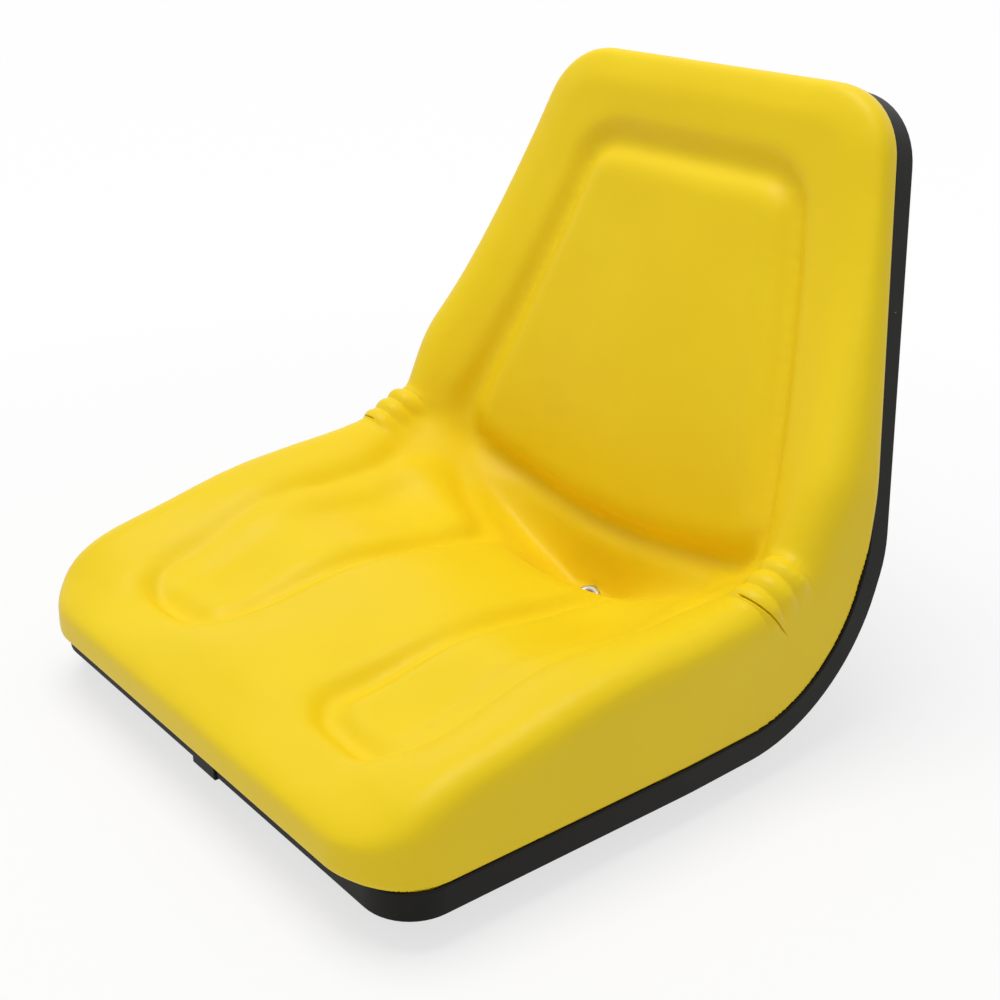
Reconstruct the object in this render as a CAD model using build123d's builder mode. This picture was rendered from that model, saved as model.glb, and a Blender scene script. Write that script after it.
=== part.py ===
import os
from math import asin, cos, radians, sin, tan

from build123d import *

# Driving dimensions, in millimetres and degrees

# Rim line, the lower edge of the trim all round
rear_width = 483.0  # over the trim, from the bend back
front_width = 466.0  # over the trim, at the front corners
front_reach = 175.0  # mounting centre to the front of the trim
front_corner = 34.0
side_blend = 400.0  # where the tapering sides turn parallel
parallel_run = 60.0  # sides stay parallel this far before the bend
hip_run = 28.0  # and this far after it
bend_start = 121.0  # mounting centre to where the rim curves up
bend_radius = 130.0
back_lean = 17.0
back_height = 338.0  # flat part of the back, above the bend
back_top_width = 322.0  # over the trim, with square corners
back_corner = 60.0
hip_blend = 120.0
rim_height = 24.0  # rim line over the mounting face

# Cushion
skin = 1.5  # vinyl skin, also the hem round the pan flange
seat_step = 0.3  # seat wall inside the back wall, where the two meet
front_overhang = 8.0  # cushion past the rim at the front
back_overhang = 2.0  # cushion past the rim at the top of the back
hip_overhang = 44.0  # cushion stays parallel this much further up the back
seat_roll = 18.0
back_roll = 24.0
crest_x = 224.0  # side crests of the seat and the back, from the centre line
middle_x = 172.0  # outer edge of the pads and the panel, from the centre line
# seat face: distance behind the mounting centre, then height over the mounting face
# on the centre line, at the pad edge and at the side crest
seat_stations = [
    (-200.0, 40.0, 38.0, 40.0),
    (-180.0, 66.0, 64.0, 66.0),
    (-166.0, 84.0, 82.0, 88.0),
    (-140.0, 96.0, 90.0, 107.0),
    (-50.0, 100.0, 103.0, 126.0),
    (50.0, 99.0, 109.0, 136.0),
    (120.0, 84.0, 112.0, 141.0),
    (188.0, 33.0, 112.0, 145.0),
    (225.0, 26.0, 112.0, 146.0),
]
# back face: distance up from the bend, then depth in front of the rim line
back_stations = [
    (360.0, 54.0, 54.0, 54.0),
    (130.0, 46.0, 54.0, 71.0),
    (10.0, 42.0, 58.0, 94.0),
    (-90.0, 18.0, 44.0, 106.0),
]
groove_width = 10.0
groove_depth = 8.0
pad_round = 6.5  # soft edge of the pads and the panel

# Thigh pads
pad_front = 122.0  # mounting centre to the front of the pads
pad_rear_inner = 142.0  # mounting centre to their rear corners
pad_rear_outer = 174.0
pad_inside = 76.0  # centre line to the inner edges
pad_outside_front = 164.0  # centre line to the outer edges
pad_outside_rear = 182.0
pad_corner = 22.0

# Back panel, measured up the back from the bend
panel_low = -2.0  # lower corners
panel_sag = 26.0  # middle of the lower edge under its corners
panel_high = 266.0
panel_low_width = 348.0
panel_high_width = 204.0
panel_corner = 30.0

# Pleats where the seat turns up into the back
pleat_count = 3
pleat_back = 131.0  # top of the lowest ridge, behind and over the mounting centre
pleat_high = 146.0
pleat_pitch = 15.2
pleat_slope = 27.0
pleat_ring = 13.0
pleat_bead = 8.0
pleat_out = 1.5  # past the cushion wall

# Pressed steel pan
sheet = 1.6
ledge_height = 17.0  # rim ledge over the rim line
ledge_width = 30.0
dish_corner = 62.0
dish_draft = 30.0
dish_round = 16.0
foam_gap = 0.3
bead_radius = 9.0
bead_rise = 0.8  # rise of a stiffening ridge as a share of its half width
bead_length = 150.0
bead_spacing = 140.0
back_bead_low = 60.0  # lower end, up the back from the bend
back_bead_length = 190.0
back_bead_spacing = 120.0

# Edge trim
trim_wall = 2.0
trim_height = 21.0  # outer leg
trim_inner_height = 13.0
trim_round = 1.4
trim_gap = 0.2
trim_joint = 1.0  # gap where its two ends meet at the front
sleeve_length = 30.0
sleeve_offset = 7.0  # middle of the sleeve, to the side of the joint
sleeve_wall = 1.5

# Mounting and drain
bolt_spacing_x = 285.75
bolt_spacing_y = 177.8
bolt_hole = 9.0
nut_bore = 8.0
nut_across = 13.0
nut_height = 6.5
drain_back = 187.0  # mounting centre to the drain
drain_depth = 138.0  # bend axis to the seat of the eyelet
drain_bore = 14.0
eyelet_flange = 25.0
eyelet_wall = 0.8
eyelet_dome = 1.6
eyelet_curl = 21.0  # rolled end under the pan

# Worked out from the dimensions above
trim_out = trim_wall + trim_gap
half_rear = rear_width / 2 - trim_out
half_front = front_width / 2 - trim_out
half_top = back_top_width / 2 - trim_out
front_y = -front_reach + trim_out
back_up = Vector(0, sin(radians(back_lean)), cos(radians(back_lean)))
back_out = Vector(0, -cos(radians(back_lean)), sin(radians(back_lean)))
bend_axis = Axis((0, bend_start, rim_height + bend_radius), (1, 0, 0))
bend_turn = 90 - back_lean
bend_end = Vector(0, bend_start, rim_height + bend_radius) - back_out * bend_radius
crease_y = seat_stations[-1][0]
crease_low = -back_stations[-1][0]
drain_turn = asin((drain_back - bend_start) / drain_depth)
drain_plane = Plane(
    origin=Vector(0, bend_start, rim_height + bend_radius)
    + Vector(0, sin(drain_turn), -cos(drain_turn)) * drain_depth,
    x_dir=(1, 0, 0),
    z_dir=(0, -sin(drain_turn), cos(drain_turn)),
)
reach = 400.0  # longer than any piece, for cutting blocks
form_floor = 40.0
margin = 20.0  # clear of every overhang
form_half = half_rear + margin


def back_plane(depth):
    """Plane parallel to the back, this far in front of the rim line"""
    return Plane(origin=bend_end + back_out * depth, x_dir=(1, 0, 0), z_dir=back_out)


def cross_plane(y):
    """Upright plane across the seat, with its second axis up"""
    return Plane(origin=(0, y, 0), x_dir=(1, 0, 0), z_dir=(0, -1, 0))


def seat_outline(inset, corner, run=0.0, overhang=0.0):
    """Plan of the seat, drawn in from the cushion wall and run on past the bend"""
    front = front_y - overhang
    rear = bend_start + run + inset
    shoulder = bend_start - parallel_run
    with BuildSketch() as outline:
        with BuildLine():
            Polyline(
                (-half_rear, rear),
                (-half_rear, shoulder),
                (-half_front, front),
                (half_front, front),
                (half_rear, shoulder),
                (half_rear, rear),
                close=True,
            )
        make_face()
        if inset:
            offset(amount=-inset, kind=Kind.INTERSECTION)
        fillet(vertices().sort_by(Axis.Y)[:2], corner)
        shoulders = vertices().filter_by(lambda v: abs(v.Y - shoulder) < parallel_run / 2)
        fillet(shoulders, side_blend - inset)
    return outline.sketch


def back_outline(inset, corner, run=0.0, overhang=0.0, hip=hip_run):
    """Outline of the back, drawn in from the cushion wall and run on below the bend"""
    low = -run - inset
    top = back_height + overhang
    top_half = half_top + overhang
    with BuildSketch() as outline:
        with BuildLine():
            Polyline(
                (-half_rear, low),
                (-half_rear, hip),
                (-top_half, top),
                (top_half, top),
                (half_rear, hip),
                (half_rear, low),
                close=True,
            )
        make_face()
        if inset:
            offset(amount=-inset, kind=Kind.INTERSECTION)
        fillet(vertices().sort_by(Axis.Y)[-2:], corner)
        hips = vertices().sort_by(Axis.Y)[2:4]
        fillet(hips, hip_blend - inset)
    return outline.sketch


def layer(inset, low, high):
    """Folded slab between two heights over the rim line"""
    with BuildPart() as slab:
        with BuildSketch(Plane.XY.offset(rim_height + low)):
            add(seat_outline(inset, front_corner - inset))
        extrude(amount=high - low)
        with BuildSketch(cross_plane(bend_start)):
            with Locations((0, rim_height + (low + high) / 2)):
                Rectangle(2 * (half_rear - inset), high - low)
        revolve(axis=bend_axis, revolution_arc=bend_turn)
        with BuildSketch(back_plane(low)):
            add(back_outline(inset, back_corner - inset))
        extrude(amount=high - low)
    return slab.part


def rise_plane(up):
    """Plane square to the back, this far above the bend, with its second axis out of it"""
    return Plane(origin=bend_end + back_up * up, x_dir=(1, 0, 0), z_dir=-back_up)


def face_form(stations):
    """Solid behind a face that hollows from station to station, with a crest down each side"""
    with BuildPart() as form:
        for plane, centre, middle, crest in stations:
            with BuildSketch(plane):
                with BuildLine():
                    Polyline(
                        (-form_half, crest),
                        (-form_half, -form_floor),
                        (form_half, -form_floor),
                        (form_half, crest),
                    )
                    Spline(
                        (form_half, crest),
                        (crest_x, crest),
                        (middle_x, middle),
                        (0, centre),
                        (-middle_x, middle),
                        (-crest_x, crest),
                        (-form_half, crest),
                    )
                make_face()
        loft()
    return form.part


def seat_form(drop):
    """Everything under the seat face, lowered by drop"""
    return face_form(
        [
            (cross_plane(y), centre - drop, middle - drop, crest - drop)
            for y, centre, middle, crest in seat_stations
        ]
    )


def back_form(drop):
    """Everything behind the back face, set back by drop"""
    return face_form(
        [
            (rise_plane(up), centre - drop, middle - drop, crest - drop)
            for up, centre, middle, crest in back_stations
        ]
    )


def pad_outline(grow):
    """Plan of the thigh pad on the +X side, grown by the width of its groove"""
    with BuildSketch() as outline:
        with BuildLine():
            Polyline(
                (pad_inside, -pad_front),
                (pad_outside_front, -pad_front),
                (pad_outside_rear, pad_rear_outer),
                (pad_inside, pad_rear_inner),
                close=True,
            )
        make_face()
        fillet(vertices(), pad_corner)
        if grow:
            offset(amount=grow)
    return outline.sketch


def panel_outline(grow):
    """Outline of the back panel, grown by the width of its groove"""
    with BuildSketch() as outline:
        with BuildLine():
            Polyline(
                (panel_low_width / 2, panel_low),
                (panel_high_width / 2, panel_high),
                (-panel_high_width / 2, panel_high),
                (-panel_low_width / 2, panel_low),
            )
            ThreePointArc(
                (-panel_low_width / 2, panel_low),
                (0, panel_low - panel_sag),
                (panel_low_width / 2, panel_low),
            )
        make_face()
        fillet(vertices(), panel_corner)
        if grow:
            offset(amount=grow)
    return outline.sketch


def raised(plane, outline, form):
    """Prism of an outline up to a face, with a soft top edge"""
    with BuildPart() as pad:
        with BuildSketch(plane):
            add(outline)
        extrude(amount=reach)
        add(form, mode=Mode.INTERSECT)
        top = faces().filter_by(lambda f: f.normal_at().dot(plane.z_dir) > 0.5).sort_by(SortBy.AREA)[-1]
        fillet(top.edges(), pad_round)
    return pad.part


def pocket(plane, outline, form):
    """Prism of an outline above a lowered face"""
    with BuildPart() as cut:
        with BuildSketch(plane):
            add(outline)
        extrude(amount=reach)
        add(form, mode=Mode.SUBTRACT)
    return cut.part


def dish(inward):
    """Block that fills the pressed dish of the pan, drawn in from its outer face"""
    growth = inward / cos(radians(dish_draft))
    inset = skin + sheet + ledge_width + growth
    depth = ledge_height + rim_height - inward
    overlap = 2 * depth
    with BuildPart() as seat_well:
        with BuildSketch(Plane.XY.offset(rim_height + ledge_height)):
            add(seat_outline(inset, dish_corner - growth, overlap))
        extrude(amount=-depth, taper=dish_draft)
        split(bisect_by=cross_plane(bend_start), keep=Keep.TOP)
    with BuildPart() as back_well:
        with BuildSketch(back_plane(ledge_height)):
            add(back_outline(inset, dish_corner - growth, overlap))
        extrude(amount=-depth, taper=dish_draft)
        split(bisect_by=rise_plane(0), keep=Keep.BOTTOM)
    high = half_rear - inset
    low = high - depth * tan(radians(dish_draft))
    level = rim_height + ledge_height
    with BuildPart() as well:
        with BuildSketch(cross_plane(bend_start)):
            Polygon((-high, level), (-low, level - depth), (low, level - depth), (high, level), align=None)
        revolve(axis=bend_axis, revolution_arc=bend_turn)
        add(seat_well.part)
        add(back_well.part)
        floor_edge = edges().filter_by(Axis.X).group_by(Axis.Z)[0].sort_by(Axis.Y)[0]
        fillet(floor_edge, dish_round - inward)
    return well.part


def ridge(plane, length, radius):
    """Round-ended stiffening ridge along the plane's second axis"""
    with BuildPart() as bar:
        with BuildSketch(plane):
            SlotOverall(length, 2 * radius, rotation=90)
        extrude(amount=bead_rise * radius)
        top = faces().filter_by(lambda f: f.normal_at().dot(plane.z_dir) > 0.9)
        fillet(top.edges(), bead_rise * radius * 0.9)
    return bar.part


def ridges(shrink):
    """All four ridges of the pan, drawn in by shrink"""
    floor = Plane.XY
    wall = back_plane(-rim_height)
    with BuildPart() as bars:
        for side in (-1, 1):
            seat_spot = floor.shift_origin(floor.origin + Vector(side * bead_spacing / 2, 0, 0))
            add(ridge(seat_spot, bead_length - 2 * shrink, bead_radius - shrink))
            middle = back_bead_low + back_bead_length / 2
            back_spot = wall.shift_origin(
                wall.origin + back_up * middle + Vector(side * back_bead_spacing / 2, 0, 0)
            )
            add(ridge(back_spot, back_bead_length - 2 * shrink, bead_radius - shrink))
    return bars.part


def bolts(radius, low, high):
    """Round bars on the four mounting holes"""
    with BuildPart() as bars:
        with BuildSketch(Plane.XY.offset(low)):
            with GridLocations(bolt_spacing_x, bolt_spacing_y, 2, 2):
                Circle(radius)
        extrude(amount=high - low)
    return bars.part


def drain(radius, low, high):
    """Round bar on the drain, between two heights over the seat of the eyelet"""
    with BuildPart() as bar:
        with BuildSketch(drain_plane.offset(low)):
            Circle(radius)
        extrude(amount=high - low)
    return bar.part


seat_face = seat_form(0)
back_face = back_form(0)
seat_pad = raised(Plane.XY, pad_outline(0), seat_face)
seat_pocket = pocket(Plane.XY, pad_outline(groove_width), seat_form(groove_depth))
panel = raised(back_plane(0), panel_outline(0), back_face)
panel_pocket = pocket(back_plane(0), panel_outline(groove_width), back_form(groove_depth))

with BuildPart() as seat_half:
    with BuildSketch(Plane.XY.offset(10 - form_floor)):
        add(seat_outline(seat_step, front_corner, crease_y - bend_start + 10, front_overhang))
    extrude(amount=reach)
    add(seat_face, mode=Mode.INTERSECT)
    top = faces().filter_by(lambda f: f.normal_at().Z > 0.5).sort_by(SortBy.AREA)[-1]
    fillet(top.edges().filter_by(lambda e: e.center().Y < crease_y - 1), seat_roll)
    add(seat_pocket, mode=Mode.SUBTRACT)
    mirror(seat_pocket, about=Plane.YZ, mode=Mode.SUBTRACT)
    add(seat_pad)
    mirror(seat_pad, about=Plane.YZ)

with BuildPart() as back_half:
    with BuildSketch(back_plane(10 - form_floor)):
        add(back_outline(0, back_corner, crease_low + 10, back_overhang, hip_run + hip_overhang))
    extrude(amount=reach)
    add(back_face, mode=Mode.INTERSECT)
    top = faces().filter_by(lambda f: f.normal_at().dot(back_out) > 0.5).sort_by(SortBy.AREA)[-1]
    lowest = top.edges().sort_by(Axis.Z)[0]
    fillet(top.edges() - [lowest], back_roll)
    add(panel_pocket, mode=Mode.SUBTRACT)
    add(panel)

foam_space = layer(-margin, ledge_height, bend_radius - 2)
foam_dish = dish(sheet + foam_gap)
trim_room = layer(-margin, 0, trim_height + trim_gap)
wall_space = layer(0, 0, trim_height + trim_gap)
hem_outer = layer(0, trim_out, ledge_height)
hem_inner = layer(skin, trim_out, ledge_height)
foam_ridges = ridges(-foam_gap)
nut_room = bolts(nut_across * 0.6 + foam_gap, 0, sheet + nut_height + 8)
eyelet_seat = drain(eyelet_flange / 2 + 1, 0, drain_depth / 2)
eyelet_hole = drain(drain_bore / 2 + eyelet_wall + foam_gap, -drain_depth / 2, 1)

with BuildPart() as pleat:
    slope = radians(pleat_slope)
    inward = Vector(0, sin(slope), -cos(slope)) * (pleat_ring + pleat_bead)
    for step in range(pleat_count):
        run = step * pleat_pitch
        top = Vector(0, pleat_back + run * cos(slope), pleat_high + run * sin(slope))
        centre = top + inward + Vector(half_rear + pleat_out - pleat_ring - pleat_bead, 0, 0)
        with Locations(Plane(origin=centre, x_dir=(1, 0, 0), z_dir=(0, cos(slope), sin(slope)))):
            Torus(pleat_ring, pleat_bead)

with BuildPart() as cushion:
    add(seat_half.part)
    add(back_half.part)
    with BuildPart(mode=Mode.INTERSECT):
        add(foam_space)
        add(foam_dish)
    with BuildPart(mode=Mode.SUBTRACT):
        add(trim_room)
        add(wall_space, mode=Mode.SUBTRACT)
    with BuildPart():
        add(hem_outer)
        add(hem_inner, mode=Mode.SUBTRACT)
    add(pleat.part)
    mirror(pleat.part, about=Plane.YZ)
    add(foam_ridges, mode=Mode.SUBTRACT)
    add(nut_room, mode=Mode.SUBTRACT)
    add(eyelet_seat, mode=Mode.SUBTRACT)
    add(eyelet_hole, mode=Mode.SUBTRACT)

pan_rim = layer(skin, trim_out, ledge_height)
pan_rim_inside = layer(skin + sheet, 0, ledge_height - sheet)
pan_outside = dish(0)
pan_inside = dish(sheet)
ridge_outside = ridges(0)
ridge_inside = ridges(sheet)
bolt_bars = bolts(bolt_hole / 2, -1, sheet + 1)
drain_bar = drain(drain_bore / 2 + eyelet_wall + foam_gap, -drain_depth / 2, 0)

with BuildPart() as seat_pan:
    add(pan_rim)
    add(pan_rim_inside, mode=Mode.SUBTRACT)
    add(pan_outside)
    add(pan_inside, mode=Mode.SUBTRACT)
    add(ridge_outside)
    add(ridge_inside, mode=Mode.SUBTRACT)
    add(bolt_bars, mode=Mode.SUBTRACT)
    add(drain_bar, mode=Mode.SUBTRACT)

channel = skin + sheet + trim_gap
trim_outer = layer(-trim_out, 0, trim_height)
trim_channel = layer(-trim_gap, trim_wall, trim_height + 1)
trim_inner = layer(channel, 0, trim_inner_height)
trim_opening = layer(channel + trim_wall, -1, trim_inner_height + 1)

with BuildPart() as edge_trim:
    add(trim_outer)
    front_edges = edges().filter_by(Axis.X).group_by(Axis.Y)[0]
    fillet(front_edges, trim_round)
    add(trim_channel, mode=Mode.SUBTRACT)
    add(trim_inner)
    add(trim_opening, mode=Mode.SUBTRACT)
    with Locations((0, front_y, rim_height)):
        Box(trim_joint, 8 * trim_wall, 4 * trim_height, mode=Mode.SUBTRACT)

sleeve_front = -front_reach - trim_gap
sleeve_rear = front_y + channel + trim_wall + trim_gap
sleeve_low = rim_height - trim_gap
with BuildPart() as trim_sleeve:
    with BuildSketch(Plane.YZ.offset(sleeve_offset - sleeve_length / 2)):
        Polygon(
            (sleeve_front, rim_height + trim_height),
            (sleeve_front - sleeve_wall, rim_height + trim_height),
            (sleeve_front - sleeve_wall, sleeve_low - sleeve_wall),
            (sleeve_rear + sleeve_wall, sleeve_low - sleeve_wall),
            (sleeve_rear + sleeve_wall, rim_height + trim_inner_height),
            (sleeve_rear, rim_height + trim_inner_height),
            (sleeve_rear, sleeve_low),
            (sleeve_front, sleeve_low),
            align=None,
        )
    extrude(amount=sleeve_length)
    outside = faces().sort_by(Axis.Y)[0]
    fillet(outside.edges(), sleeve_wall * 0.6)

barrel = drain_bore / 2 + eyelet_wall
under_pan = drain_depth - bend_radius - rim_height - foam_gap
with BuildPart() as drain_eyelet:
    with BuildSketch(Plane(drain_plane.origin, x_dir=(1, 0, 0), z_dir=-drain_plane.y_dir)):
        with BuildLine():
            Polyline(
                (eyelet_flange / 2, 0),
                (barrel, 0),
                (barrel, under_pan),
                (eyelet_curl / 2, under_pan),
                (eyelet_curl / 2, under_pan - eyelet_wall),
                (drain_bore / 2, under_pan - eyelet_wall),
                (drain_bore / 2, eyelet_dome / 2),
            )
            ThreePointArc(
                (drain_bore / 2, eyelet_dome / 2),
                (barrel + eyelet_wall, eyelet_dome),
                (eyelet_flange / 2, 0),
            )
        make_face()
    revolve(axis=Axis(drain_plane.origin, drain_plane.z_dir))

with BuildPart() as weld_nuts:
    with BuildSketch(Plane.XY.offset(sheet)):
        with GridLocations(bolt_spacing_x, bolt_spacing_y, 2, 2):
            RegularPolygon(nut_across / 2, 6, major_radius=False)
            Circle(nut_bore / 2, mode=Mode.SUBTRACT)
    extrude(amount=nut_height)

cushion.part.label = "cushion"
seat_pan.part.label = "seat_pan"
edge_trim.part.label = "edge_trim"
trim_sleeve.part.label = "trim_sleeve"
drain_eyelet.part.label = "drain_eyelet"
weld_nuts.part.label = "weld_nuts"

os.makedirs("parts", exist_ok=True)
export_step(cushion.part, "parts/cushion.step")
export_step(seat_pan.part, "parts/seat_pan.step")
export_step(edge_trim.part, "parts/edge_trim.step")
export_step(trim_sleeve.part, "parts/trim_sleeve.step")
export_step(drain_eyelet.part, "parts/drain_eyelet.step")
export_step(weld_nuts.part, "parts/weld_nuts.step")
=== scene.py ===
import math

import bpy
import numpy as np
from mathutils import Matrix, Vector


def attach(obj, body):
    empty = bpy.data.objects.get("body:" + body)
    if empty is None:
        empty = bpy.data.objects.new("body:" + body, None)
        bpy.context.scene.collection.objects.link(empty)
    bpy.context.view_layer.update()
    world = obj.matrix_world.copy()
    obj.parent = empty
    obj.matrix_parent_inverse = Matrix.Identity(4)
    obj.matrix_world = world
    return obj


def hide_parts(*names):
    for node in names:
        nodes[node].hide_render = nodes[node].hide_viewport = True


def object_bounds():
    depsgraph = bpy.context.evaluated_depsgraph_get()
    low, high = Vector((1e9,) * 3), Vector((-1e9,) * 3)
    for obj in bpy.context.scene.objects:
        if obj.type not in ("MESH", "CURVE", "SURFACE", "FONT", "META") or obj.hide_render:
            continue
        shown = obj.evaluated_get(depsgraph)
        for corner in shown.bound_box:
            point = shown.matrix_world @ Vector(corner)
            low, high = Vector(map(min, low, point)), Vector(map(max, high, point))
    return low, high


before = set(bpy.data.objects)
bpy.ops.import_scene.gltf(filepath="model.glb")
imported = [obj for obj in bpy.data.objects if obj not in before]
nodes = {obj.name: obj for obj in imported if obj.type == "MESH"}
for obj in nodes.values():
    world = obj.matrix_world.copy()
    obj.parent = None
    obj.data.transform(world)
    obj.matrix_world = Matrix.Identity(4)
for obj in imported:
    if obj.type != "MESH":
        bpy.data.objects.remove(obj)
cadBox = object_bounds()
scene = bpy.context.scene
scene.view_settings.view_transform = "Standard"
print("frame loaded:", sorted(nodes))


# how the rim of the seat folds up into the back, in metres and degrees
fold = {
    "rimHeight": 0.024,
    "bendStart": 0.121,
    "bendRadius": 0.130,
    "backLean": 17.0,
    "backFoot": 0.03,
    "frontEdge": -0.1728,
    "shoulder": 0.061,
    "hip": 0.028,
    "backHeight": 0.338,
    "halfFront": 0.2308,
    "halfRear": 0.2393,
    "halfTop": 0.1588,
    "frontCorner": 0.034,
    "sideCorner": 0.4,
    "hipCorner": 0.12,
    "topCorner": 0.06,
    "frontOverhang": 0.0155,
    "hipOverhang": 0.044,
    "topOverhang": 0.002,
    "rollCorner": 0.056,
}


def deselectAll():
    if bpy.context.object and bpy.context.object.mode != "OBJECT":
        bpy.ops.object.mode_set(mode="OBJECT")
    bpy.ops.object.select_all(action="DESELECT")


def pick(obj):
    deselectAll()
    obj.select_set(True)
    bpy.context.view_layer.objects.active = obj


def applyAll(obj):
    pick(obj)
    for modifier in list(obj.modifiers):
        bpy.ops.object.modifier_apply(modifier=modifier.name)


def joinTo(obj, extra):
    pick(obj)
    extra.select_set(True)
    bpy.ops.object.join()


def addBar(radius, depth, spot, turn, sides):
    deselectAll()
    bpy.ops.mesh.primitive_cylinder_add(
        vertices=sides, radius=radius, depth=depth, location=spot, rotation=turn
    )
    return bpy.context.object


def readPoints(obj):
    points = np.zeros(len(obj.data.vertices) * 3)
    obj.data.vertices.foreach_get("co", points)
    return points.reshape(-1, 3)


def readNormals(obj):
    normals = np.zeros(len(obj.data.vertices) * 3)
    obj.data.vertices.foreach_get("normal", normals)
    return normals.reshape(-1, 3)


def writePoints(obj, points):
    obj.data.vertices.foreach_set("co", points.reshape(-1))
    obj.data.update()


def faceCentres(obj):
    centres = np.zeros(len(obj.data.polygons) * 3)
    obj.data.polygons.foreach_get("center", centres)
    return centres.reshape(-1, 3)


# cut the chosen faces into smaller ones
def refine(obj, chosen, cuts):
    pick(obj)
    bpy.ops.object.mode_set(mode="EDIT")
    bpy.ops.mesh.select_mode(type="FACE")
    bpy.ops.mesh.select_all(action="DESELECT")
    bpy.ops.object.mode_set(mode="OBJECT")
    obj.data.polygons.foreach_set("select", chosen)
    bpy.ops.object.mode_set(mode="EDIT")
    bpy.ops.mesh.subdivide(number_cuts=cuts, smoothness=0.0)
    bpy.ops.object.mode_set(mode="OBJECT")


# soft step from 0 at start to 1 at end
def ease(value, start, end):
    share = np.clip((value - start) / (end - start), 0, 1)
    return share * share * (3 - 2 * share)


# soft hill, 1 at zero
def bell(value, width):
    return np.exp(-((value / width) ** 2))


# closed outline from (across, along, radius) corners, each rounded by an arc
def roundOutline(corners, steps=14):
    outline = []
    for i, (across, along, radius) in enumerate(corners):
        spot = np.array([across, along])
        before = np.array(corners[i - 1][:2]) - spot
        after = np.array(corners[(i + 1) % len(corners)][:2]) - spot
        before /= np.linalg.norm(before)
        after /= np.linalg.norm(after)
        half = math.acos(np.clip(before @ after, -1, 1)) / 2
        middle = (before + after) / np.linalg.norm(before + after)
        centre = spot + middle * radius / math.sin(half)
        first = spot + before * radius / math.tan(half) - centre
        last = spot + after * radius / math.tan(half) - centre
        for share in np.linspace(0, 1, steps):
            way = first * (1 - share) + last * share
            outline.append(centre + way / np.linalg.norm(way) * radius)
    return np.array(outline)


# distance to an outline, less than zero inside it, and the way straight out of it
def outlineDistance(across, along, outline):
    spots = np.stack([across, along], axis=1)
    best = np.full(len(spots), 9.0)
    away = np.zeros_like(spots)
    inside = np.zeros(len(spots), dtype=bool)
    for start, end in zip(outline, np.roll(outline, -1, axis=0)):
        run = end - start
        share = np.clip((spots - start) @ run / (run @ run + 1e-12), 0, 1)
        rel = spots - start - share[:, None] * run
        gap = np.linalg.norm(rel, axis=1)
        nearer = gap < best
        best = np.where(nearer, gap, best)
        away[nearer] = rel[nearer]
        crosses = (start[1] > along) != (end[1] > along)
        reach = start[0] + (along - start[1]) / (run[1] + 1e-12) * run[0]
        inside ^= crosses & (across < reach)
    sign = np.where(inside, -1.0, 1.0)
    away = away * sign[:, None] / (best[:, None] + 1e-9)
    return best * sign, away


lean = math.radians(fold["backLean"])
backUp = np.array([0.0, math.sin(lean), math.cos(lean)])
backOut = np.array([0.0, -math.cos(lean), math.sin(lean)])
bendCentre = np.array([0.0, fold["bendStart"], fold["rimHeight"] + fold["bendRadius"]])
bendEnd = bendCentre - backOut * fold["bendRadius"]
bendLength = fold["bendRadius"] * (math.pi / 2 - lean)


# along: way up the folded rim line from the bend; over: height above that line
def unfold(points):
    rel = points - bendCentre
    turn = np.arctan2(rel[:, 1], -rel[:, 2])
    radius = np.hypot(rel[:, 1], rel[:, 2])
    relEnd = points - bendEnd
    onSeat = points[:, 1] < fold["bendStart"]
    along = np.where(onSeat, points[:, 1] - fold["bendStart"], turn * fold["bendRadius"])
    over = np.where(onSeat, points[:, 2] - fold["rimHeight"], fold["bendRadius"] - radius)
    up = relEnd @ backUp
    onBack = (up > 0) & (points[:, 2] > fold["rimHeight"] + fold["backFoot"])
    along = np.where(onBack, bendLength + up, along)
    over = np.where(onBack, relEnd @ backOut, over)
    return along, over, onSeat, onBack


# directions along and over the folded rim line at each point
def foldWays(points, onSeat, onBack):
    inward = bendCentre - points
    inward[:, 0] = 0
    radius = np.linalg.norm(inward, axis=1)[:, None] + 1e-9
    inward = inward / radius
    overWay = np.where(onSeat[:, None], np.array([0, 0, 1.0]), inward)
    overWay = np.where(onBack[:, None], backOut, overWay)
    alongWay = np.stack([np.zeros(len(points)), overWay[:, 2], -overWay[:, 1]], axis=1)
    flat = (onSeat | onBack)[:, None]
    return alongWay * np.where(flat, 1.0, radius / fold["bendRadius"]), overWay


# both sides of an outline, from the corners on its +X side
def mirrorCorners(corners):
    return corners + [(-across, along, radius) for across, along, radius in reversed(corners)]


# outline of the unfolded rim, or of the wall that hangs over it
def seatOutline(frontOver, hipOver, topOver, frontCorner):
    front = fold["frontEdge"] - fold["bendStart"]
    return roundOutline(
        mirrorCorners(
            [
                (fold["halfFront"], front - frontOver, frontCorner),
                (fold["halfRear"], fold["shoulder"] - fold["bendStart"], fold["sideCorner"]),
                (fold["halfRear"], bendLength + fold["hip"] + hipOver, fold["hipCorner"]),
                (fold["halfTop"] + topOver, bendLength + fold["backHeight"] + topOver, fold["topCorner"]),
            ]
        )
    )


rimOutline = seatOutline(0, 0, 0, fold["frontCorner"])
wallOutline = seatOutline(fold["frontOverhang"], fold["hipOverhang"], fold["topOverhang"], fold["rollCorner"])

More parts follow.
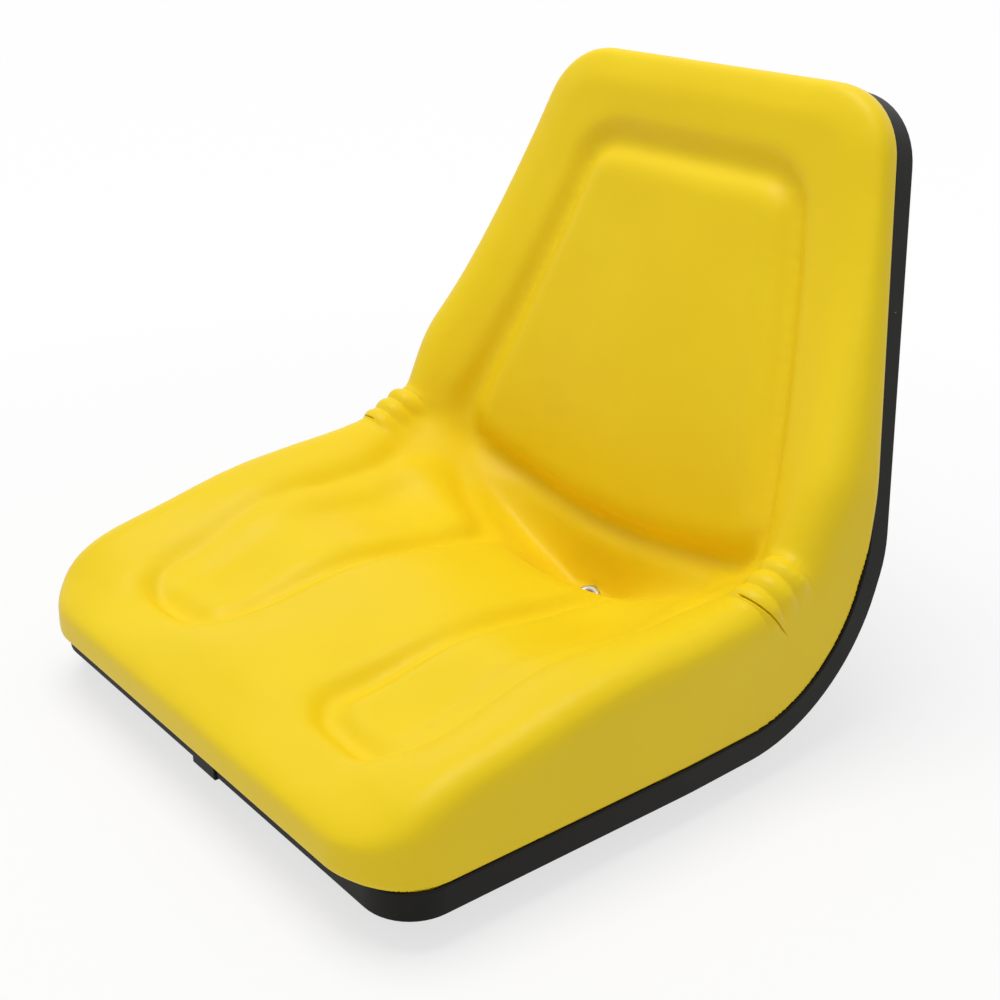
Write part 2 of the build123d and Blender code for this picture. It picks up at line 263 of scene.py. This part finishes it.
# Vinyl cushion: skin and foam in one, softened and sculpted from the plain moulding
cushionLook = {
    "mergeGap": 0.00002,
    "voxel": 0.0035,
    "hemTop": 0.017,
    "hemSide": 0.03,
    "hemFront": -0.14,
    "hemBack": 0.3,
    "softShare": 0.5,
    "softRounds": 8,
    "leastWeight": 0.01,
    "faceRounds": 10,
    "faceOver": (0.024, 0.034),
    "faceInside": (0.012, 0.02),
    "facing": (0.3, 0.6),
    "sideways": (0.3, 0.9),
    "grooveRounds": 60,
    "grooveReach": 0.018,
    "grooveOver": 0.028,
    "settleRounds": 9,
}
thighPad = {
    "front": -0.122,
    "rearInner": 0.142,
    "rearOuter": 0.174,
    "inside": 0.076,
    "outsideFront": 0.164,
    "outsideRear": 0.182,
    "corner": 0.022,
    "startHeight": (0.05, 0.07),
    "grooveDepth": 0.0044,
    "grooveSpot": 0.004,
    "grooveWidth": 0.0095,
    "crown": 0.0025,
    "crownReach": 0.024,
    "rearFade": 0.4,
    "outerSide": (0.130, 0.172),
    "outerFill": 0.009,
    "fillWidth": 0.034,
    "fillEnd": (0.15, 0.09),
}
backPanel = {
    "low": -0.002,
    "sag": 0.026,
    "sagShares": (0.2, 0.45, 0.7),
    "sagCorner": 0.05,
    "high": 0.266,
    "lowHalf": 0.174,
    "highHalf": 0.102,
    "corner": 0.030,
    "startHeight": (-0.06, -0.04),
    "grooveDepth": 0.0045,
    "grooveSpot": 0.005,
    "grooveWidth": 0.0095,
    "crown": 0.003,
    "crownReach": 0.024,
    "lowGain": 0.3,
}
padOutline = roundOutline(
    [
        (thighPad["inside"], thighPad["front"], thighPad["corner"]),
        (thighPad["outsideFront"], thighPad["front"], thighPad["corner"]),
        (thighPad["outsideRear"], thighPad["rearOuter"], thighPad["corner"]),
        (thighPad["inside"], thighPad["rearInner"], thighPad["corner"]),
    ]
)
panelSag = []
for share in backPanel["sagShares"]:
    sagged = backPanel["low"] - backPanel["sag"] * (1 - share * share)
    panelSag.append((backPanel["lowHalf"] * share, sagged, backPanel["sagCorner"]))
panelTop = [
    (backPanel["lowHalf"], backPanel["low"], backPanel["corner"]),
    (backPanel["highHalf"], backPanel["high"], backPanel["corner"]),
]
panelOutline = roundOutline(mirrorCorners(panelSag + panelTop))


def softenZone(obj, name, weights, rounds):
    group = obj.vertex_groups.new(name=name)
    for i in np.nonzero(weights > cushionLook["leastWeight"])[0]:
        group.add([int(i)], float(weights[i]), "REPLACE")
    soften = obj.modifiers.new(name, "SMOOTH")
    soften.vertex_group = name
    soften.factor = cushionLook["softShare"]
    soften.iterations = rounds
    applyAll(obj)
    obj.vertex_groups.remove(obj.vertex_groups[name])


# where the eyelet sits at the bottom of the gutter, and the room that its flange takes
eyeletSeat = {
    "back": 0.187,
    "depth": 0.138,
    "radius": 0.0133,
    "under": 0.0006,
    "reach": 0.02,
    "plugRadius": 0.016,
    "plugDepth": 0.011,
    "bore": 0.0081,
    "sides": 48,
}
# the foam is thin at the bottom of the gutter: a bar holds it while it is softened
gutterBar = {
    "back": 0.204,
    "high": 0.0265,
    "radius": 0.006,
    "length": 0.16,
    "sides": 32,
    "panInside": 0.1519,
    "panSpare": 0.01,
    "panHeight": 0.06,
}
eyeletTurn = math.asin((eyeletSeat["back"] - fold["bendStart"]) / eyeletSeat["depth"])
eyeletOut = np.array([0, -math.sin(eyeletTurn), math.cos(eyeletTurn)])
eyeletCentre = bendCentre - eyeletOut * eyeletSeat["depth"]


def eyeletBar(radius, top, depth):
    spot = eyeletCentre + eyeletOut * (top - depth / 2)
    return addBar(radius, depth, spot, (eyeletTurn, 0, 0), eyeletSeat["sides"])


# fold the hem up flat: the trim hides it
def foldHem(cushion, look):
    points = readPoints(cushion)
    along, over, onSeat, onBack = unfold(points)
    rim = np.abs(points[:, 0]) > fold["halfRear"] - look["hemSide"]
    rim |= (points[:, 1] < look["hemFront"]) | (onBack & (along > bendLength + look["hemBack"]))
    rise = np.where(rim, np.maximum(look["hemTop"] - over, 0), 0)
    overWay = foldWays(points, onSeat, onBack)[1]
    writePoints(cushion, points + overWay * rise[:, None])


# close the drain for now, so that softening can't widen it
def fillGutter(cushion, look):
    plug = eyeletBar(eyeletSeat["plugRadius"], -eyeletSeat["under"], eyeletSeat["plugDepth"])
    joinTo(cushion, plug)
    spot = (0, look["back"], look["high"])
    joinTo(cushion, addBar(look["radius"], look["length"], spot, (0, math.pi / 2, 0), look["sides"]))


# pull the foam under the gutter back inside the pan
def pullInside(cushion, look):
    points = readPoints(cushion)
    rel = points - bendCentre
    rel[:, 0] = 0
    radius = np.linalg.norm(rel, axis=1)
    poking = (rel[:, 1] > 0) & (radius > look["panInside"])
    poking &= np.abs(points[:, 0]) < look["length"] / 2 + look["panSpare"]
    poking &= points[:, 2] < look["panHeight"]
    pull = np.where(poking, look["panInside"] / radius - 1, 0)
    writePoints(cushion, points + rel * pull[:, None])


def rawCushion(look):
    mesh = nodes["cushion"].data.copy()
    mesh.materials.clear()
    cushion = bpy.data.objects.new("vinylCushion", mesh)
    scene.collection.objects.link(cushion)
    pick(cushion)
    bpy.ops.object.mode_set(mode="EDIT")
    bpy.ops.mesh.select_all(action="SELECT")
    bpy.ops.mesh.remove_doubles(threshold=look["mergeGap"])
    bpy.ops.object.mode_set(mode="OBJECT")
    foldHem(cushion, look)
    fillGutter(cushion, gutterBar)
    remesh = cushion.modifiers.new("skin", "REMESH")
    remesh.mode = "VOXEL"
    remesh.voxel_size = look["voxel"]
    soften = cushion.modifiers.new("soften", "SMOOTH")
    soften.factor = look["softShare"]
    soften.iterations = look["softRounds"]
    applyAll(cushion)
    pullInside(cushion, gutterBar)
    print("cushion remeshed:", len(cushion.data.polygons), "faces")
    return cushion


# gap to the pads and to the panel, the way out of them, and how much a point belongs to their faces
def faceGaps(points, normals, look):
    up = (points - bendEnd) @ backUp
    padGap, padAway = outlineDistance(np.abs(points[:, 0]), points[:, 1], padOutline)
    panelGap, panelAway = outlineDistance(points[:, 0], up, panelOutline)
    onPads = ease(normals[:, 2], *look["facing"]) * ease(points[:, 2], *thighPad["startHeight"])
    onPanel = ease(normals @ backOut, *look["facing"]) * ease(up, *backPanel["startHeight"])
    return (padGap, padAway, onPads), (panelGap, panelAway, onPanel)


# height of a crowned face with a groove of this depth round it
def grooveRelief(gap, depth, piece):
    groove = bell(gap - piece["grooveSpot"], piece["grooveWidth"])
    return piece["crown"] * ease(-gap, 0.0, piece["crownReach"]) - piece["grooveDepth"] * depth * groove


# Gutter behind the seat: a cove that is deepest at the drain
gutterLook = {
    "facing": (-0.2, 0.1),
    "back": (0.125, 0.165),
    "high": (0.15, 0.11),
    "side": (0.205, 0.175),
    "belowPanel": (0.0, 0.014),
    "creaseRounds": 120,
    "coveSide": (0.015, 0.06),
    "coveRounds": 400,
    "browDip": 0.010,
    "browWidth": 0.036,
    "browBack": 0.168,
    "browLength": 0.02,
}


def coveGutter(cushion, points, normals, panelGap, look):
    # the upper side of the gutter faces the axis of the bend
    axisWay = (bendCentre - points) * np.array([0, 1, 1])
    axisWay /= np.linalg.norm(axisWay, axis=1)[:, None]
    upper = ease(np.sum(normals * axisWay, axis=1), *look["facing"])
    crease = upper * ease(points[:, 1], *look["back"]) * ease(points[:, 2], *look["high"])
    crease *= ease(np.abs(points[:, 0]), *look["side"]) * ease(panelGap, *look["belowPanel"])
    softenZone(cushion, "crease", crease, look["creaseRounds"])
    # away from the drain it fills to a shallow cove
    cove = crease * ease(np.abs(points[:, 0]), *look["coveSide"])
    softenZone(cushion, "cove", cove, look["coveRounds"])


# the edge of the seat dips in front of the drain
def browDip(points, normals, look):
    brow = bell(points[:, 0], look["browWidth"]) * bell(points[:, 1] - look["browBack"], look["browLength"])
    return look["browDip"] * brow * ease(normals[:, 2], *cushionLook["facing"])


# grooves and crowns of the pads and the panel, and the soft gutter behind the seat
def sculptFaces(cushion, look):
    points = readPoints(cushion)
    along, over = unfold(points)[:2]
    rimGap = outlineDistance(points[:, 0], along, rimOutline)[0]
    offTrim = np.maximum(ease(over, *look["faceOver"]), ease(-rimGap, *look["faceInside"]))
    softenZone(cushion, "faces", offTrim, look["faceRounds"])
    normals = readNormals(cushion)
    (padGap, _, _), (panelGap, _, _) = faceGaps(points, normals, look)
    near = np.maximum(
        bell(padGap - thighPad["grooveSpot"], look["grooveReach"]),
        bell(panelGap - backPanel["grooveSpot"], look["grooveReach"]),
    )
    near[over < look["grooveOver"]] = 0
    softenZone(cushion, "grooves", near, look["grooveRounds"])
    coveGutter(cushion, points, normals, panelGap, gutterLook)

    points = readPoints(cushion)
    normals = readNormals(cushion)
    (padGap, padAway, onPads), (panelGap, panelAway, onPanel) = faceGaps(points, normals, look)
    # the pads' grooves are weaker at the rear and fade into the bolsters
    outer = ease(np.abs(points[:, 0]), *thighPad["outerSide"])
    rear = thighPad["rearFade"] * ease(padAway[:, 1], *look["sideways"])
    shift = onPads * grooveRelief(padGap, (1 - outer) * (1 - rear), thighPad)
    fill = outer * bell(padGap - thighPad["grooveSpot"], thighPad["fillWidth"])
    fill *= ease(points[:, 1], *thighPad["fillEnd"])
    shift += onPads * thighPad["outerFill"] * fill
    # the panel's groove is deeper along its lower edge
    low = backPanel["lowGain"] * ease(-panelAway[:, 1], *look["sideways"])
    shift += onPanel * grooveRelief(panelGap, 1 + low, backPanel)
    shift -= browDip(points, normals, gutterLook)
    writePoints(cushion, points + normals * shift[:, None])
    softenZone(cushion, "settle", near, look["settleRounds"])


# How the cushion sits in the edging
trimSeat = {
    "top": 0.0214,
    "tuck": 0.0006,
    "stripInside": 0.008,
    "stripBelow": 0.002,
    "stripAbove": 0.012,
    "stripCuts": 2,
    "mostOverhang": 0.02,
    "leastOverhang": 0.0005,
    "frontAlong": -0.2,
    "lipRadius": 0.006,
    "lipFront": (0.3, 0.9),
    "flareStart": 0.0008,
    "sideFlare": 3.0,
    "wallInside": 0.012,
    "wallHold": 0.010,
    "frontHold": 0.024,
    "holdFront": (0.5, 1.0),
    "wallFade": 0.044,
    "edgeInside": 0.006,
    "softStart": 0.006,
    "softStartFront": 0.003,
    "softFull": 2.5,
    "softTop": (0.09, 0.06),
    "softInside": (-0.03, -0.015),
    "softRounds": 24,
}


# smaller faces along the top of the edging, for a clean line there
def refineLip(cushion, look):
    centres = faceCentres(cushion)
    along, over = unfold(centres)[:2]
    gap = outlineDistance(centres[:, 0], along, rimOutline)[0]
    strip = (over > look["top"] - look["stripBelow"]) & (over < look["top"] + look["stripAbove"])
    refine(cushion, strip & (gap > -look["stripInside"]), look["stripCuts"])


# how far the wall hangs out past the rim: a round lip in front, a flare elsewhere
def wallReach(over, overhang, front, look):
    rise = np.maximum(over - look["top"], 0)
    share = np.clip(rise / look["lipRadius"], 0, 1)
    lip = np.sqrt(1 - (1 - share) ** 2)
    flare = 1 - np.exp(-rise * look["sideFlare"] / (overhang + look["leastOverhang"]))
    return look["flareStart"] + overhang * (flare + (lip - flare) * ease(front, *look["lipFront"]))


# the lower wall sits inside the trim, and rolls out over it above
def seatInTrim(cushion, look):
    refineLip(cushion, look)
    top = look["top"]
    points = readPoints(cushion)
    along, over, onSeat, onBack = unfold(points)
    gap, away = outlineDistance(points[:, 0], along, rimOutline)
    wallGap = outlineDistance(points[:, 0], along, wallOutline)[0]
    overhang = np.clip(gap - wallGap, 0, look["mostOverhang"])
    front = np.where(along < look["frontAlong"], np.maximum(-away[:, 1], 0), 0)
    target = wallReach(over, overhang, front, look)
    held = look["wallHold"] + (look["frontHold"] - look["wallHold"]) * ease(front, *look["holdFront"])
    hold = ease(over, top + look["wallFade"], top + held)
    wall = (gap > -look["wallInside"]) & (over > top)
    out = np.where(wall, (target - gap) * hold, 0)
    # one row of points is drawn to the top of the edging
    rowReach = cushionLook["voxel"] / (look["stripCuts"] + 1) / 2
    edge = (np.abs(over - top) < rowReach) & (gap > -look["edgeInside"])
    tucked = (over < top) & (gap > -look["tuck"])
    out = np.where(tucked | edge, -look["tuck"] - gap, out)
    rise = np.where(edge, top - over, 0)
    alongWay, overWay = foldWays(points, onSeat, onBack)
    outWay = alongWay * away[:, 1:2]
    outWay[:, 0] = away[:, 0]
    writePoints(cushion, points + outWay * out[:, None] + overWay * rise[:, None])
    low = np.where(front > look["lipFront"][0], look["softStartFront"], look["softStart"])
    above = ease(over, top + low, top + look["softFull"] * low)
    above *= ease(over, *look["softTop"]) * ease(gap, *look["softInside"])
    softenZone(cushion, "walls", above, look["softRounds"])


# Room between the foam and the thin pan
panRoom = {
    "room": 0.0032,
    "facing": 0.2,
    "below": 0.003,
    "filmSide": (0.12, 0.08),
    "filmBack": (0.13, 0.15),
    "filmHigh": (0.09, 0.07),
}


# the underside keeps clear of the pan, apart from the film of foam under the gutter
def clearPan(cushion, look):
    points = readPoints(cushion)
    normals = readNormals(cushion)
    along, over, onSeat, onBack = unfold(points)
    overWay = foldWays(points, onSeat, onBack)[1]
    under = np.sum(normals * overWay, axis=1) < look["facing"]
    under &= over < trimSeat["top"] - look["below"]
    film = ease(np.abs(points[:, 0]), *look["filmSide"])
    film *= ease(points[:, 1], *look["filmBack"]) * ease(points[:, 2], *look["filmHigh"])
    shift = look["room"] * under * (1 - film)
    writePoints(cushion, points - normals * shift[:, None])


# Pleats over the crests where the seat turns up into the back, and a slit in front of them
pleatLook = {
    "count": 3,
    "lowest": (0.131, 0.146),
    "pitch": 0.0152,
    "slope": 27.0,
    "firstFade": (-0.8, -0.45),
    "lastFade": (0.3, -0.1),
    "inner": 0.194,
    "fade": 0.014,
    "drop": 0.036,
    "leastZone": 0.02,
    "cuts": 2,
    "softRounds": 12,
    "rise": 0.0024,
    "roundness": 0.8,
    "sunk": 0.45,
    "slitTop": (0.127, 0.1425),
    "slitSlope": 40.0,
    "slitInner": 0.212,
    "slitFade": 0.006,
    "slitDrop": 0.034,
    "slitEnd": 0.012,
    "slitStrip": 0.004,
    "slitCuts": 3,
    "slitWidth": 0.0005,
    "slitDepth": 0.0030,
}


# way up across the pleats counted in pleats, and how much a point belongs to them
def pleatPlaces(points, look):
    slope = math.radians(look["slope"])
    back = points[:, 1] - look["lowest"][0]
    high = points[:, 2] - look["lowest"][1]
    run = (back * math.cos(slope) + high * math.sin(slope)) / look["pitch"]
    depth = high * math.cos(slope) - back * math.sin(slope)
    last = look["count"] - 0.5
    zone = ease(run, *look["firstFade"]) * ease(run, last + look["lastFade"][0], last + look["lastFade"][1])
    zone *= ease(np.abs(points[:, 0]), look["inner"], look["inner"] + look["fade"])
    zone *= ease(depth, -look["drop"], -look["fade"])
    return run, zone


# how deep the slit is at a point, and the strip of faces round it
def slitPlaces(points, look):
    slope = math.radians(look["slitSlope"])
    back = points[:, 1] - look["slitTop"][0]
    high = points[:, 2] - look["slitTop"][1]
    across = back * math.cos(slope) + high * math.sin(slope)
    place = ease(np.abs(points[:, 0]), look["slitInner"], look["slitInner"] + look["slitFade"])
    place *= ease(high, -look["slitDrop"], -look["slitDrop"] + look["slitEnd"])
    return place * bell(across, look["slitWidth"]), (place > 0) & (np.abs(across) < look["slitStrip"])


def foldPleats(cushion, look):
    centres = faceCentres(cushion)
    pleated = pleatPlaces(centres, look)[1] > look["leastZone"]
    refine(cushion, pleated | slitPlaces(centres, look)[1], look["cuts"])
    zone = pleatPlaces(readPoints(cushion), look)[1]
    softenZone(cushion, "pleats", np.minimum(zone * 2, 1), look["softRounds"])
    points = readPoints(cushion)
    run, zone = pleatPlaces(points, look)
    ridge = np.abs(np.cos(math.pi * run)) ** look["roundness"] - look["sunk"]
    writePoints(cushion, points + readNormals(cushion) * (look["rise"] * zone * ridge)[:, None])
    refine(cushion, slitPlaces(faceCentres(cushion), look)[1], look["slitCuts"])
    points = readPoints(cushion)
    slit = slitPlaces(points, look)[0]
    writePoints(cushion, points - readNormals(cushion) * (look["slitDepth"] * slit)[:, None])


# room for the flange of the eyelet, and its bore cut through again
def clearEyelet(cushion, look):
    points = readPoints(cushion)
    high = (points - eyeletCentre) @ eyeletOut
    flat = points - eyeletCentre - high[:, None] * eyeletOut
    radius = np.linalg.norm(flat, axis=1)
    covered = (radius < look["radius"]) & (high > -look["under"]) & (high < look["reach"])
    writePoints(cushion, points + eyeletOut * np.where(covered, -look["under"] - high, 0)[:, None])
    bar = eyeletBar(look["bore"], look["reach"], 4 * look["reach"])
    cut = cushion.modifiers.new("bore", "BOOLEAN")
    cut.operation = "DIFFERENCE"
    cut.solver = "EXACT"
    cut.object = bar
    applyAll(cushion)
    bpy.data.objects.remove(bar, do_unlink=True)


cushion = rawCushion(cushionLook)
sculptFaces(cushion, cushionLook)
seatInTrim(cushion, trimSeat)
clearPan(cushion, panRoom)
foldPleats(cushion, pleatLook)
clearEyelet(cushion, eyeletSeat)
pick(cushion)
bpy.ops.object.shade_smooth()
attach(cushion, "root")
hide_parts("cushion")
print("cushion sculpted:", sum(len(face.vertices) - 2 for face in cushion.data.polygons), "triangles")


# shared surface effect: fine cells for bump and slow clouds for tone
grainLook = {
    "cells": 900.0,
    "clouds": 14.0,
    "cellShare": 0.6,
    "fineDetail": 3.0,
    "cloudDetail": 4.0,
    "toneRange": (0.3, 0.7),
}


def makeGrain(look):
    group = bpy.data.node_groups.new("surfaceGrain", "ShaderNodeTree")
    group.interface.new_socket("Vector", in_out="INPUT", socket_type="NodeSocketVector")
    for name, value in (("Cells", look["cells"]), ("Clouds", look["clouds"])):
        socket = group.interface.new_socket(name, in_out="INPUT", socket_type="NodeSocketFloat")
        socket.default_value = value
    for name in ("Height", "Tone"):
        group.interface.new_socket(name, in_out="OUTPUT", socket_type="NodeSocketFloat")
    gNodes, gLinks = group.nodes, group.links
    start = gNodes.new("NodeGroupInput")
    end = gNodes.new("NodeGroupOutput")
    cells = gNodes.new("ShaderNodeTexVoronoi")
    cells.feature = "SMOOTH_F1"
    fine = gNodes.new("ShaderNodeTexNoise")
    fine.inputs["Detail"].default_value = look["fineDetail"]
    clouds = gNodes.new("ShaderNodeTexNoise")
    clouds.inputs["Detail"].default_value = look["cloudDetail"]
    blend = gNodes.new("ShaderNodeMath")
    blend.operation = "MULTIPLY_ADD"
    blend.inputs[1].default_value = look["cellShare"]
    for texture, size in ((cells, "Cells"), (fine, "Cells"), (clouds, "Clouds")):
        gLinks.new(start.outputs["Vector"], texture.inputs["Vector"])
        gLinks.new(start.outputs[size], texture.inputs["Scale"])
    gLinks.new(cells.outputs["Distance"], blend.inputs[0])
    gLinks.new(fine.outputs["Fac"], blend.inputs[2])
    gLinks.new(blend.outputs[0], end.inputs["Height"])
    gLinks.new(clouds.outputs["Fac"], end.inputs["Tone"])
    return group


surfaceGrain = makeGrain(grainLook)


# one finish: two tones and a gloss range over slow clouds, and a fine bump
def makeFinish(name, look):
    material = bpy.data.materials.new(name)
    material.use_nodes = True
    mNodes, mLinks = material.node_tree.nodes, material.node_tree.links
    shader = mNodes["Principled BSDF"]
    for socket, value in look["fixed"].items():
        shader.inputs[socket].default_value = value
    coords = mNodes.new("ShaderNodeTexCoord")
    grain = mNodes.new("ShaderNodeGroup")
    grain.node_tree = surfaceGrain
    grain.inputs["Cells"].default_value = look["cells"]
    grain.inputs["Clouds"].default_value = look["clouds"]
    mLinks.new(coords.outputs["Object"], grain.inputs["Vector"])
    tone = mNodes.new("ShaderNodeValToRGB")
    for element, spot, colour in zip(tone.color_ramp.elements, grainLook["toneRange"], ("dark", "light")):
        element.position = spot
        element.color = look[colour]
    mLinks.new(grain.outputs["Tone"], tone.inputs["Fac"])
    mLinks.new(tone.outputs["Color"], shader.inputs["Base Color"])
    gloss = mNodes.new("ShaderNodeMapRange")
    gloss.inputs["From Min"].default_value, gloss.inputs["From Max"].default_value = grainLook["toneRange"]
    gloss.inputs["To Min"].default_value, gloss.inputs["To Max"].default_value = look["rough"]
    mLinks.new(grain.outputs["Tone"], gloss.inputs["Value"])
    mLinks.new(gloss.outputs["Result"], shader.inputs["Roughness"])
    bump = mNodes.new("ShaderNodeBump")
    bump.inputs["Strength"].default_value = look["bump"]
    bump.inputs["Distance"].default_value = look["bumpHeight"]
    mLinks.new(grain.outputs["Height"], bump.inputs["Height"])
    mLinks.new(bump.outputs["Normal"], shader.inputs["Normal"])
    return material


yellowVinyl = {
    "dark": (0.850, 0.610, 0.009, 1),
    "light": (0.875, 0.640, 0.011, 1),
    "rough": (0.40, 0.46),
    "cells": 1100.0,
    "clouds": 11.0,
    "bump": 0.35,
    "bumpHeight": 0.00008,
    "fixed": {"Specular IOR Level": 0.2},
}
edgingBlack = {
    "dark": (0.006, 0.006, 0.005, 1),
    "light": (0.011, 0.010, 0.008, 1),
    "rough": (0.46, 0.56),
    "cells": 700.0,
    "clouds": 30.0,
    "bump": 0.4,
    "bumpHeight": 0.0001,
    "fixed": {"Specular IOR Level": 0.13},
}
panPaint = {
    "dark": (0.010, 0.010, 0.010, 1),
    "light": (0.018, 0.018, 0.018, 1),
    "rough": (0.28, 0.40),
    "cells": 420.0,
    "clouds": 18.0,
    "bump": 0.3,
    "bumpHeight": 0.00012,
    "fixed": {"Specular IOR Level": 0.4},
}
platedSteel = {
    "dark": (0.50, 0.49, 0.46, 1),
    "light": (0.66, 0.65, 0.62, 1),
    "rough": (0.25, 0.38),
    "cells": 1600.0,
    "clouds": 160.0,
    "bump": 0.2,
    "bumpHeight": 0.00004,
    "fixed": {"Metallic": 1.0},
}


def dress(obj, material):
    obj.data.materials.clear()
    obj.data.materials.append(material)


dress(cushion, makeFinish("yellowVinyl", yellowVinyl))
trimFinish = makeFinish("edgingBlack", edgingBlack)
dress(nodes["edge_trim"], trimFinish)
dress(nodes["trim_sleeve"], trimFinish)
dress(nodes["seat_pan"], makeFinish("panPaint", panPaint))
steelFinish = makeFinish("platedSteel", platedSteel)
dress(nodes["drain_eyelet"], steelFinish)
dress(nodes["weld_nuts"], steelFinish)
print("finishes done")

# Studio: white floor and backdrop, soft lights and the camera
studio = {
    "floorSize": 12.0,
    "floorGap": 0.0003,
    "floorTone": (0.9, 0.9, 0.9, 1),
    "floorRough": 0.9,
    "nearGlow": 0.7,
    "farGlow": 0.98,
    "glowStart": 0.35,
    "glowEnd": 1.1,
    "skyLight": 0.45,
    "topLight": {"place": (-0.25, -0.1, 3.2), "aim": (0, 0.1, 0.15), "size": 2.3, "power": 65.0},
    "frontLight": {"place": (-0.2, -1.9, 2.1), "aim": (0, 0.2, 0.2), "size": 1.4, "power": 1.5},
}


# 1 for rays that see the white background straight or mirrored, else 0
def backgroundRays(treeNodes, treeLinks):
    rays = treeNodes.new("ShaderNodeLightPath")
    total = rays.outputs["Is Camera Ray"]
    for name in ("Is Glossy Ray", "Is Transmission Ray"):
        add = treeNodes.new("ShaderNodeMath")
        add.operation = "ADD"
        add.use_clamp = True
        treeLinks.new(total, add.inputs[0])
        treeLinks.new(rays.outputs[name], add.inputs[1])
        total = add.outputs[0]
    return total


def makeFloor(look):
    bpy.ops.mesh.primitive_plane_add(size=look["floorSize"], location=(0, 0, cadBox[0][2] - look["floorGap"]))
    floor = bpy.context.object
    floor.name = "studioFloor"
    material = bpy.data.materials.new("whiteFloor")
    material.use_nodes = True
    mNodes, mLinks = material.node_tree.nodes, material.node_tree.links
    shader = mNodes["Principled BSDF"]
    shader.inputs["Base Color"].default_value = look["floorTone"]
    shader.inputs["Roughness"].default_value = look["floorRough"]
    shader.inputs["Specular IOR Level"].default_value = 0.0
    glow = mNodes.new("ShaderNodeEmission")
    mix = mNodes.new("ShaderNodeMixShader")
    # whiter away from the object, where no shadow falls
    coords = mNodes.new("ShaderNodeTexCoord")
    distance = mNodes.new("ShaderNodeVectorMath")
    distance.operation = "LENGTH"
    fade = mNodes.new("ShaderNodeMapRange")
    fade.inputs["From Min"].default_value = look["glowStart"]
    fade.inputs["From Max"].default_value = look["glowEnd"]
    fade.inputs["To Min"].default_value = look["nearGlow"]
    fade.inputs["To Max"].default_value = look["farGlow"]
    part = mNodes.new("ShaderNodeMath")
    part.operation = "MULTIPLY"
    mLinks.new(coords.outputs["Object"], distance.inputs[0])
    mLinks.new(distance.outputs["Value"], fade.inputs["Value"])
    mLinks.new(fade.outputs["Result"], part.inputs[0])
    mLinks.new(backgroundRays(mNodes, mLinks), part.inputs[1])
    mLinks.new(part.outputs[0], mix.inputs[0])
    mLinks.new(shader.outputs["BSDF"], mix.inputs[1])
    mLinks.new(glow.outputs["Emission"], mix.inputs[2])
    mLinks.new(mix.outputs["Shader"], mNodes["Material Output"].inputs["Surface"])
    dress(floor, material)


def makeSky(look):
    world = bpy.data.worlds.new("studioWorld")
    scene.world = world
    world.use_nodes = True
    wNodes, wLinks = world.node_tree.nodes, world.node_tree.links
    light = wNodes["Background"]
    light.inputs["Color"].default_value = (1, 1, 1, 1)
    light.inputs["Strength"].default_value = look["skyLight"]
    seen = wNodes.new("ShaderNodeBackground")
    seen.inputs["Color"].default_value = (1, 1, 1, 1)
    mix = wNodes.new("ShaderNodeMixShader")
    wLinks.new(backgroundRays(wNodes, wLinks), mix.inputs[0])
    wLinks.new(light.outputs["Background"], mix.inputs[1])
    wLinks.new(seen.outputs["Background"], mix.inputs[2])
    wLinks.new(mix.outputs["Shader"], wNodes["World Output"].inputs["Surface"])


def softLight(name, look):
    bpy.ops.object.light_add(type="AREA", location=look["place"])
    lamp = bpy.context.object
    lamp.name = name
    lamp.data.shape = "DISK"
    lamp.data.size = look["size"]
    lamp.data.energy = look["power"]
    way = Vector(look["aim"]) - Vector(look["place"])
    lamp.rotation_euler = way.to_track_quat("-Z", "Y").to_euler()


makeFloor(studio)
makeSky(studio)
for name in ("topLight", "frontLight"):
    softLight(name, studio[name])
print("studio done")

cameraSpot = {
    "place": (0.80679, -0.571612, 0.617915),
    "azimuth": 0.880579,
    "elevation": 0.422510,
    "lens": 54.0,
    "sensor": 36.0,
}
cameraData = bpy.data.cameras.new("photoCamera")
camera = bpy.data.objects.new("photoCamera", cameraData)
scene.collection.objects.link(camera)
cameraData.lens = cameraSpot["lens"]
cameraData.sensor_width = cameraSpot["sensor"]
camera.location = cameraSpot["place"]
camera.rotation_euler = (math.pi / 2 - cameraSpot["elevation"], 0, cameraSpot["azimuth"])
scene.camera = camera
